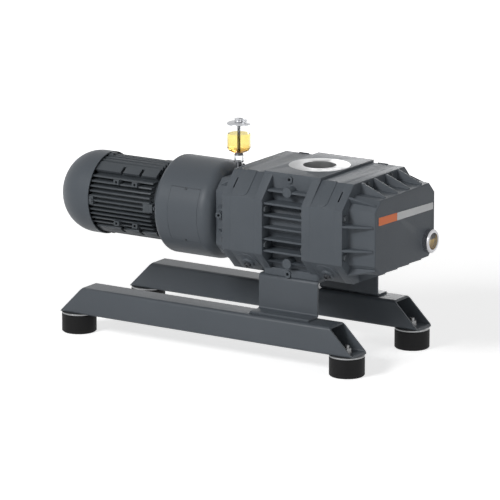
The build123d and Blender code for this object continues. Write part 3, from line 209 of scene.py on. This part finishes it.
def stretched(tree, value, low, high):
    return ranged(tree, value, low, high, 0.3, 0.7)  # most of a noise lies between these two


def mixed(tree, factor, first, second):
    mix = node(tree, "ShaderNodeMix", {"data_type": "RGBA"}, {0: factor})
    for socket, value in ((6, first), (7, second)):
        if isinstance(value, bpy.types.NodeSocket):
            tree.links.new(value, mix.inputs[socket])
        else:
            mix.inputs[socket].default_value = (*value, 1)
    return mix.outputs[2]


def bumped(tree, height, strength, distance, normal=None):
    inputs = {"Height": height, "Strength": strength, "Distance": distance}
    if normal is not None:
        inputs["Normal"] = normal
    return node(tree, "ShaderNodeBump", None, inputs).outputs[0]


def scaled(color, share):
    return tuple(channel * share for channel in color)


def paint(name, spec):
    mat, tree, shader, where = startMaterial(name)
    cloud = noise(tree, where, spec["cloudScale"], 3.0)
    low = scaled(spec["color"], 1 - spec["variation"])
    high = scaled(spec["color"], 1 + spec["variation"])
    tone = mixed(tree, stretched(tree, cloud, 0.0, 1.0), low, high)
    grain = noise(tree, where, spec["grainScale"], 4.0, 0.6)
    peel = noise(tree, where, spec["peelScale"], 1.0)
    smoother, rougher = spec["roughSpread"]
    rough = stretched(tree, grain, spec["roughness"] - smoother, spec["roughness"] + rougher)
    normal = bumped(tree, grain, spec["grainBump"], spec["grainDepth"])
    normal = bumped(tree, peel, spec["peelBump"], spec["peelDepth"], normal)
    tree.links.new(tone, shader.inputs["Base Color"])
    tree.links.new(rough, shader.inputs["Roughness"])
    tree.links.new(normal, shader.inputs["Normal"])
    shader.inputs["Specular IOR Level"].default_value = spec["specular"]
    return mat, tree, shader, where, tone, rough


pumpPaint = {"color": (0.092, 0.106, 0.122), "variation": 0.045, "cloudScale": 9.0,
             "grainScale": 420.0, "grainBump": 0.10, "grainDepth": 0.0006,
             "peelScale": 260.0, "peelBump": 0.12, "peelDepth": 0.0004,
             "roughness": 0.44, "roughSpread": (0.05, 0.07), "specular": 0.3}
castPaint = dict(pumpPaint, grainScale=300.0, grainBump=0.26, roughness=0.50, variation=0.06)
motorPaint = dict(pumpPaint, color=(0.072, 0.082, 0.092), grainScale=380.0, grainBump=0.18, roughness=0.47)
framePaint = dict(pumpPaint, color=(0.090, 0.103, 0.118), grainBump=0.06, peelBump=0.16, roughness=0.42)
boltPaint = dict(pumpPaint, color=(0.080, 0.090, 0.100), grainBump=0.08, roughness=0.42)
rubberLook = dict(pumpPaint, color=(0.0045, 0.0045, 0.005), variation=0.25, cloudScale=30.0, grainScale=900.0,
                  peelScale=200.0, roughness=0.62, grainBump=0.22, peelBump=0.05, specular=0.22)
sealLook = dict(rubberLook, color=(0.05, 0.028, 0.018))
spiderLook = dict(rubberLook, color=(0.36, 0.05, 0.02))
plasticLook = dict(rubberLook, color=(0.020, 0.021, 0.023), roughness=0.5, grainScale=500.0)


def metal(name, spec):
    mat, tree, shader, where = startMaterial(name)
    along = node(tree, "ShaderNodeMapping", None, {"Vector": where, "Scale": spec["stretch"]}).outputs[0]
    lines = noise(tree, along, spec["lineScale"], 4.0, 0.7)
    cloud = noise(tree, where, spec["cloudScale"], 3.0)
    tone = mixed(tree, stretched(tree, cloud, 0.0, 1.0), scaled(spec["color"], spec["shade"]), spec["color"])
    smoother, rougher = spec["roughSpread"]
    rough = stretched(tree, lines, spec["roughness"] - smoother, spec["roughness"] + rougher)
    tree.links.new(tone, shader.inputs["Base Color"])
    tree.links.new(rough, shader.inputs["Roughness"])
    tree.links.new(bumped(tree, lines, spec["bump"], spec["lineDepth"]), shader.inputs["Normal"])
    shader.inputs["Metallic"].default_value = 1.0
    return mat


zincLook = {"color": (0.34, 0.345, 0.35), "shade": 0.82, "cloudScale": 25.0, "stretch": (1, 1, 1),
            "lineScale": 700.0, "bump": 0.12, "lineDepth": 0.0003, "roughness": 0.42, "roughSpread": (0.06, 0.10)}
steelLook = dict(zincLook, color=(0.42, 0.42, 0.43), stretch=(1, 0.2, 0.2), lineScale=900.0, roughness=0.34)
brightLook = dict(zincLook, color=(0.46, 0.45, 0.43), roughness=0.30, bump=0.05)
ironLook = dict(zincLook, color=(0.16, 0.16, 0.17), roughness=0.52, bump=0.25, lineScale=500.0)
coreLook = dict(zincLook, color=(0.24, 0.24, 0.26), stretch=(12, 0.5, 0.5), lineScale=120.0, roughness=0.45)
copperLook = dict(zincLook, color=(0.45, 0.16, 0.07), stretch=(1, 3, 3), lineScale=300.0, roughness=0.40)
chromeLook = dict(zincLook, color=(0.52, 0.52, 0.54), roughness=0.20, bump=0.03)
oilerLook = dict(zincLook, color=(0.52, 0.53, 0.55), roughness=0.32, bump=0.03)
stemLook = dict(zincLook, color=(0.13, 0.135, 0.145), roughness=0.36, bump=0.05)

# the machined inlet land and bore, bare metal on the painted casing
landSpec = {"x": 0.1875, "y": 0.0, "radius": 0.0650, "bore": 0.035, "height": 0.4031, "boreDepth": 0.13,
            "slack": 0.0004, "color": (0.40, 0.405, 0.41), "shade": 0.93, "ringScale": 1900.0,
            "roughness": 0.36, "metallic": 0.75}


def casingPaint(spec, land):
    mat, tree, shader, where, tone, rough = paint("casingPaint", spec)
    split = node(tree, "ShaderNodeSeparateXYZ", None, {0: where})
    dx = calc(tree, "SUBTRACT", split.outputs[0], land["x"])
    dy = calc(tree, "SUBTRACT", split.outputs[1], land["y"])
    flat = node(tree, "ShaderNodeCombineXYZ", None, {0: dx, 1: dy})
    reach = node(tree, "ShaderNodeVectorMath", {"operation": "LENGTH"}, {0: flat.outputs[0]}).outputs["Value"]
    inside = calc(tree, "LESS_THAN", reach, land["radius"] + land["slack"])
    high = calc(tree, "GREATER_THAN", split.outputs[2], land["height"])
    nearBore = calc(tree, "LESS_THAN", reach, land["bore"] + land["slack"])
    upper = calc(tree, "GREATER_THAN", split.outputs[2], land["height"] - land["boreDepth"])
    bare = calc(tree, "MAXIMUM", calc(tree, "MULTIPLY", inside, high), calc(tree, "MULTIPLY", nearBore, upper))
    rings = calc(tree, "SINE", calc(tree, "MULTIPLY", reach, land["ringScale"]))
    bright = mixed(tree, ranged(tree, rings, 0.0, 1.0, -1.0, 1.0),
                   scaled(land["color"], land["shade"]), land["color"])
    tree.links.new(mixed(tree, bare, tone, bright), shader.inputs["Base Color"])
    turned = node(tree, "ShaderNodeMix", {"data_type": "FLOAT"}, {0: bare, 2: rough, 3: land["roughness"]})
    tree.links.new(turned.outputs[0], shader.inputs["Roughness"])
    tree.links.new(ranged(tree, bare, 0.0, land["metallic"]), shader.inputs["Metallic"])
    return mat


# the glass's edge colour is painted shade: the glass is darkened towards its outline as the camera sees it
clearGlass = {"color": (0.93, 0.94, 0.95), "edge": (0.30, 0.32, 0.34), "rim": (0.65, 0.98), "ior": 1.20,
              "roughness": 0.0, "smear": 0.03, "smearScale": 90.0}
oilLook = {"color": (0.94, 0.76, 0.24), "deep": (0.72, 0.30, 0.03), "bottom": 0.424, "fade": 0.012, "ior": 1.12,
           "roughness": 0.0, "smear": 0.03, "smearScale": 90.0}
# above the oil level the sight glass gets a dark colour, painted shade standing for the unlit inside of the cover;
# below the level the oil colour runs darker towards the bottom
sightSpec = {"level": 0.2495, "edge": 0.0008, "depth": 0.017, "oil": (0.78, 0.52, 0.09),
             "deepOil": (0.45, 0.26, 0.04), "paintedInnerShade": (0.05, 0.045, 0.03), "roughness": 0.08, "coatRoughness": 0.03}


def startGlass(name, spec):
    mat, tree, shader, where = startMaterial(name)
    smear = noise(tree, where, spec["smearScale"], 3.0)
    rough = ranged(tree, smear, spec["roughness"], spec["roughness"] + spec["smear"])
    tree.links.new(rough, shader.inputs["Roughness"])
    shader.inputs["Transmission Weight"].default_value = 1.0
    shader.inputs["IOR"].default_value = spec["ior"]
    return mat, tree, shader, where


def glassFinish(spec):
    mat, tree, shader, where = startGlass("clearGlass", spec)
    facing = node(tree, "ShaderNodeLayerWeight", None, {"Blend": 0.5}).outputs["Facing"]
    # painted shade on the glass, darker where its surface turns away from the camera
    rim = ranged(tree, facing, 0.0, 1.0, *spec["rim"])
    tree.links.new(mixed(tree, rim, spec["color"], spec["edge"]), shader.inputs["Base Color"])
    return mat


def oilFinish(spec):
    mat, tree, shader, where = startGlass("amberOil", spec)
    split = node(tree, "ShaderNodeSeparateXYZ", None, {0: where})
    depth = ranged(tree, split.outputs[2], 0.0, 1.0, spec["bottom"], spec["bottom"] + spec["fade"])
    tree.links.new(mixed(tree, depth, spec["deep"], spec["color"]), shader.inputs["Base Color"])
    return mat


def sightFinish(spec):
    mat, tree, shader, where = startMaterial("sightGlass")
    split = node(tree, "ShaderNodeSeparateXYZ", None, {0: where})
    height, level = split.outputs[2], spec["level"]
    # the field above the level takes the painted shade colour, the field below it the oil
    below = ranged(tree, height, 1.0, 0.0, level - spec["edge"], level + spec["edge"])
    depth = ranged(tree, height, 0.0, 1.0, level - spec["depth"], level)
    oil = mixed(tree, depth, spec["deepOil"], spec["oil"])
    tree.links.new(mixed(tree, below, spec["paintedInnerShade"], oil), shader.inputs["Base Color"])
    shader.inputs["Roughness"].default_value = spec["roughness"]
    shader.inputs["Coat Weight"].default_value = 1.0
    shader.inputs["Coat Roughness"].default_value = spec["coatRoughness"]
    return mat


# one finish for each material slot of the record
finishes = {
    "frame_paint": paint("framePaint", framePaint)[0],
    "pump_paint": paint("pumpPaint", castPaint)[0],
    "motor_paint": paint("motorPaint", motorPaint)[0],
    "painted_bolts": paint("boltPaint", boltPaint)[0],
    "rubber": paint("rubberLook", rubberLook)[0],
    "seal_rubber": paint("sealRubber", sealLook)[0],
    "spider_rubber": paint("spiderRubber", spiderLook)[0],
    "fan_plastic": paint("fanPlastic", plasticLook)[0],
    "gland_plastic": paint("glandPlastic", plasticLook)[0],
    "zinc_plate": metal("zincPlate", zincLook),
    "bright_steel": metal("brightSteel", brightLook),
    "gear_steel": metal("gearSteel", steelLook),
    "bearing_steel": metal("bearingSteel", brightLook),
    "core_steel": metal("coreSteel", coreLook),
    "cast_iron": metal("castIron", ironLook),
    "copper": metal("windingCopper", copperLook),
    "bright_chrome": metal("brightChrome", chromeLook),
    "oiler_metal": metal("oilerMetal", oilerLook),
    "clear_glass": glassFinish(clearGlass),
    "oil": oilFinish(oilLook),
    "sight_glass": sightFinish(sightSpec)}

smoothPaint = paint("smoothPaint", pumpPaint)[0]  # for turned and rolled sheet, which is smoother than a casting
stemFinish = metal("oilerStem", stemLook)
special = {"cylinder_casing": casingPaint(castPaint, landSpec), "oiler_base": stemFinish,
           "drain_plugs": stemFinish, "filler_plugs": stemFinish, "coupling_housing": smoothPaint,
           "front_inspection_cover": smoothPaint, "back_inspection_cover": smoothPaint, "fan_cowl": smoothPaint}
slotOf = {part["node"]: part["material_slot"] for part in frame["record"]["subparts"]}


def finishOf(name):
    return special.get(name, finishes[slotOf[name]])


def dress(piece, finish):
    piece.data.materials.clear()
    piece.data.materials.append(finish)


for name, piece in frame["nodes"].items():
    dress(piece, finishOf(name))
print("finishes made")


# the modifiers are worked into a plain mesh and taken off
def settle(piece, sharpAngle):
    graph = bpy.context.evaluated_depsgraph_get()
    finished = bpy.data.meshes.new_from_object(piece.evaluated_get(graph))
    piece.modifiers.clear()
    piece.data = finished
    for face in finished.polygons:
        face.use_smooth = True
    finished.set_sharp_from_angle(angle=radians(sharpAngle))


def attach(piece, finish):
    dress(piece, finish)
    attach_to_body(piece, "pump_unit")


# rounding of the outer edges, in millimetres for each casting and frame part
softEdges = {
    "cylinder_casing": 1.2, "motor_side_housing": 1.2, "gear_side_housing": 1.2, "motor_side_cover": 1.2,
    "gear_cover": 1.2, "front_rail": 0.8, "back_rail": 0.8, "front_bracket": 0.7, "back_bracket": 0.7,
    "stator_housing": 0.5, "drive_end_shield": 0.8, "terminal_box": 0.8, "foot_plates": 0.5}
softSpec = {"join": 1e-6, "flatAngle": 0.8, "edgeAngle": 32, "sharpAngle": 28, "segments": 2}


def soften(name, width, spec):
    mesh = frame["nodes"][name].data.copy()
    mesh.name = name + "Soft"
    shape = bmesh.new()
    shape.from_mesh(mesh)
    bmesh.ops.remove_doubles(shape, verts=shape.verts, dist=spec["join"])
    bmesh.ops.dissolve_limit(shape, angle_limit=radians(spec["flatAngle"]), verts=shape.verts, edges=shape.edges)
    shape.to_mesh(mesh)
    shape.free()
    piece = placed(name + "Soft", mesh)
    bevel = piece.modifiers.new("edges", "BEVEL")
    bevel.width = width * mm
    bevel.segments = spec["segments"]
    bevel.limit_method = "ANGLE"
    bevel.angle_limit = radians(spec["edgeAngle"])
    bevel.use_clamp_overlap = True
    settle(piece, spec["sharpAngle"])
    attach(piece, finishOf(name))
    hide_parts(name)


for name, width in softEdges.items():
    soften(name, width, softSpec)
print("edges softened")


def newTree(name, inputs):
    tree = bpy.data.node_groups.new(name, "GeometryNodeTree")
    tree.interface.new_socket("Geometry", in_out="OUTPUT", socket_type="NodeSocketGeometry")
    tree.interface.new_socket("Geometry", in_out="INPUT", socket_type="NodeSocketGeometry")
    for label, kind in inputs.items():
        tree.interface.new_socket(label, in_out="INPUT", socket_type="NodeSocket" + kind)
    return tree, node(tree, "NodeGroupInput").outputs, node(tree, "NodeGroupOutput")


def copied(tree, points, instance, extra=None):
    inputs = {"Points": points, "Instance": instance, **(extra or {})}
    return node(tree, "GeometryNodeInstanceOnPoints", None, inputs).outputs[0]


def closeTree(tree, geometry, material, out):
    real = node(tree, "GeometryNodeRealizeInstances", None, {0: geometry}).outputs[0]
    painted = node(tree, "GeometryNodeSetMaterial", None, {"Geometry": real, "Material": material})
    tree.links.new(painted.outputs[0], out.inputs[0])
    return tree


grownSharpAngle = 30  # degrees, above which an edge stays sharp


# a tree grown on loose points, turned into a plain mesh
def grow(name, points, tree, values, finish):
    mesh = bpy.data.meshes.new(name)
    mesh.from_pydata(points, [], [])
    piece = placed(name, mesh)
    modifier = piece.modifiers.new("grow", "NODES")
    modifier.node_group = tree
    for item in tree.interface.items_tree:
        if item.in_out == "INPUT" and item.name in values:
            modifier[item.identifier] = values[item.name]
    settle(piece, grownSharpAngle)
    attach(piece, finish)
    return piece


# hexagon head with a round chamfered crown on a washer; lifts are shares of each part's own height
headShape = {"sides": 6, "lift": 0.5, "crownSides": 24, "crownShare": 0.82, "crownLift": 0.56,
             "washerSides": 28, "washerLift": 0.45}


def raisedDisc(tree, sides, radius, height, share):
    disc = node(tree, "GeometryNodeMeshCylinder", None, {"Vertices": sides, "Radius": radius, "Depth": height})
    rise = node(tree, "ShaderNodeCombineXYZ", None, {2: calc(tree, "MULTIPLY", height, share)})
    return node(tree, "GeometryNodeTransform", None,
                {"Geometry": disc.outputs[0], "Translation": rise.outputs[0]}).outputs[0]


def boltHeadTree(shape):
    tree, given, out = newTree("boltHeads", {"Head Radius": "Float", "Head Height": "Float",
                                             "Washer Radius": "Float", "Washer Height": "Float",
                                             "Turn": "Vector", "Finish": "Material"})
    radius, height = given["Head Radius"], given["Head Height"]
    crownRadius = calc(tree, "MULTIPLY", radius, shape["crownShare"])
    head = raisedDisc(tree, shape["sides"], radius, height, shape["lift"])
    crown = raisedDisc(tree, shape["crownSides"], crownRadius, height, shape["crownLift"])
    washer = raisedDisc(tree, shape["washerSides"], given["Washer Radius"], given["Washer Height"],
                        shape["washerLift"])
    joined = node(tree, "GeometryNodeJoinGeometry")
    for part in (head, crown, washer):
        tree.links.new(part, joined.inputs[0])
    heads = copied(tree, given["Geometry"], joined.outputs[0], {"Rotation": given["Turn"]})
    return closeTree(tree, heads, given["Finish"], out)


headTree = boltHeadTree(headShape)


def boltHeads(name, points, spec, turn, slotName):
    return grow(name, points, headTree,
                {"Head Radius": spec["headRadius"], "Head Height": spec["headHeight"],
                 "Washer Radius": spec["washerRadius"], "Washer Height": spec["washerHeight"],
                 "Turn": turn, "Finish": finishes[slotName]}, finishes[slotName])


gearBolts = {"headRadius": 0.0073, "headHeight": 0.0055, "washerRadius": 0.0088, "washerHeight": 0.0016,
             "sideY": 0.139, "sideZ": 0.041, "topY": 0.047, "topZ": 0.094, "axisZ": 0.292, "faceX": 0.334}


def coverBoltPoints(spec):
    sides = [(y * spec["sideY"], z * spec["sideZ"]) for y in (-1, 1) for z in (-1, 1)]
    tops = [(y * spec["topY"], z * spec["topZ"]) for y in (-1, 1) for z in (-1, 1)]
    return [(spec["faceX"], y, spec["axisZ"] + z) for y, z in sides + tops]


gearHeads = boltHeads("gearCoverBoltHeads", coverBoltPoints(gearBolts), gearBolts, (0.0, pi / 2, 0.0),
                      "painted_bolts")
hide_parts("gear_cover_bolts")

# four small screws, their heads let into the terminal box lid all but flush
lidScrews = {"headRadius": 0.0034, "headHeight": 0.0022, "washerRadius": 0.0044, "washerHeight": 0.0007,
             "inset": 0.008, "sunk": 0.98}


def lidScrewPoints(spec):
    low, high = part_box("terminal_box_lid")
    y = high.y - spec["headHeight"] * spec["sunk"]
    return [(x, y, z) for x in (low.x + spec["inset"], high.x - spec["inset"])
            for z in (low.z + spec["inset"], high.z - spec["inset"])]


boltHeads("terminalLidScrews", lidScrewPoints(lidScrews), lidScrews, (-pi / 2, 0.0, 0.0), "zinc_plate")

# a tack weld at one end of each bracket: its beads lie close together, within one pitch
tackWeld = {"beadRadius": 0.0021, "flatness": 0.75, "smallest": 0.85, "largest": 1.12, "pitch": 0.0019,
            "railTop": 0.104, "proud": 0.0004, "rise": 0.0008, "seed": 7, "divisions": 2}


def weldTree(spec):
    tree, given, out = newTree("weldRipples", {"Count": "Int", "Run": "Vector", "Bead Radius": "Float",
                                               "Flatness": "Float", "Seed": "Int", "Finish": "Material"})
    line = node(tree, "GeometryNodeMeshLine", {"mode": "END_POINTS"},
                {"Count": given["Count"], "Offset": given["Run"]})
    ball = node(tree, "GeometryNodeMeshIcoSphere", None,
                {"Radius": given["Bead Radius"], "Subdivisions": spec["divisions"]})
    size = node(tree, "FunctionNodeRandomValue", {"data_type": "FLOAT"},
                {2: spec["smallest"], 3: spec["largest"], "Seed": given["Seed"]}).outputs[1]
    scale = node(tree, "ShaderNodeCombineXYZ", None,
                 {0: size, 1: size, 2: calc(tree, "MULTIPLY", size, given["Flatness"])})
    beads = copied(tree, line.outputs[0], ball.outputs[0], {"Scale": scale.outputs[0]})
    return closeTree(tree, copied(tree, given["Geometry"], beads), given["Finish"], out)


ripples = weldTree(tackWeld)
for side, sign in (("front", -1), ("back", 1)):
    low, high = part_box(side + "_bracket")
    edgeY = low.y if sign < 0 else high.y
    count = int((high.x - low.x) / tackWeld["pitch"])
    start = (low.x, edgeY + sign * tackWeld["proud"], tackWeld["railTop"] + tackWeld["rise"])
    grow(side + "RailWeld", [start], ripples,
         {"Count": count, "Run": ((high.x - low.x) / (count - 1), 0.0, 0.0), "Bead Radius": tackWeld["beadRadius"],
          "Flatness": tackWeld["flatness"], "Seed": tackWeld["seed"], "Finish": finishes["frame_paint"]},
         finishes["frame_paint"])
print("bolt heads and welds made")

# a plain strip on the gear cover: an orange field and a grey one, tapering towards the far edge
labelSpec = {"x": 0.39705, "thickness": 0.00025, "startY": -0.108, "splitY": -0.034, "endY": 0.114, "gap": 0.0006,
             "startZ": 0.3275, "endZ": 0.3195, "startHeight": 0.0175, "endHeight": 0.0145,
             "corner": 0.0012, "cornerSteps": 4, "orange": (1.0, 0.19, 0.012), "grey": (0.84, 0.85, 0.86),
             "shade": 0.96, "cloudScale": 60.0, "grainScale": 300.0, "roughness": 0.38, "roughSpread": 0.04}


def film(name, spec, color):
    mat, tree, shader, where = startMaterial(name)
    cloud = noise(tree, where, spec["cloudScale"])
    grain = noise(tree, where, spec["grainScale"])
    tree.links.new(mixed(tree, cloud, scaled(color, spec["shade"]), color), shader.inputs["Base Color"])
    rough = ranged(tree, grain, spec["roughness"] - spec["roughSpread"], spec["roughness"] + spec["roughSpread"])
    tree.links.new(rough, shader.inputs["Roughness"])
    return mat


def stripEdges(y, spec):
    share = (y - spec["startY"]) / (spec["endY"] - spec["startY"])
    middle = spec["startZ"] + (spec["endZ"] - spec["startZ"]) * share
    half = (spec["startHeight"] + (spec["endHeight"] - spec["startHeight"]) * share) / 2
    return middle - half, middle + half


def addLabelField(name, y0, y1, spec, finish):
    (startLow, startHigh), (endLow, endHigh) = stripEdges(y0, spec), stripEdges(y1, spec)
    corners = [(y0, startLow), (y1, endLow), (y1, endHigh), (y0, startHigh)]
    points = [(x, y, z) for x in (spec["x"] - spec["thickness"], spec["x"] + spec["thickness"]) for y, z in corners]
    faces = [(3, 2, 1, 0), (4, 5, 6, 7)] + [(k, (k + 1) % 4, (k + 1) % 4 + 4, k + 4) for k in range(4)]
    mesh = bpy.data.meshes.new(name)
    mesh.from_pydata(points, [], faces)
    shape = bmesh.new()
    shape.from_mesh(mesh)
    upright = [e for e in shape.edges if abs(e.verts[0].co.x - e.verts[1].co.x) > spec["thickness"]]
    bmesh.ops.bevel(shape, geom=upright, offset=spec["corner"], segments=spec["cornerSteps"], affect="EDGES",
                    profile=0.5)
    bmesh.ops.recalc_face_normals(shape, faces=shape.faces)
    shape.to_mesh(mesh)
    shape.free()
    attach(placed(name, mesh), finish)


addLabelField("labelOrangeField", labelSpec["startY"], labelSpec["splitY"], labelSpec,
              film("orangeFilm", labelSpec, labelSpec["orange"]))
addLabelField("labelGreyField", labelSpec["splitY"] + labelSpec["gap"], labelSpec["endY"], labelSpec,
              film("greyFilm", labelSpec, labelSpec["grey"]))
print("label strip made")
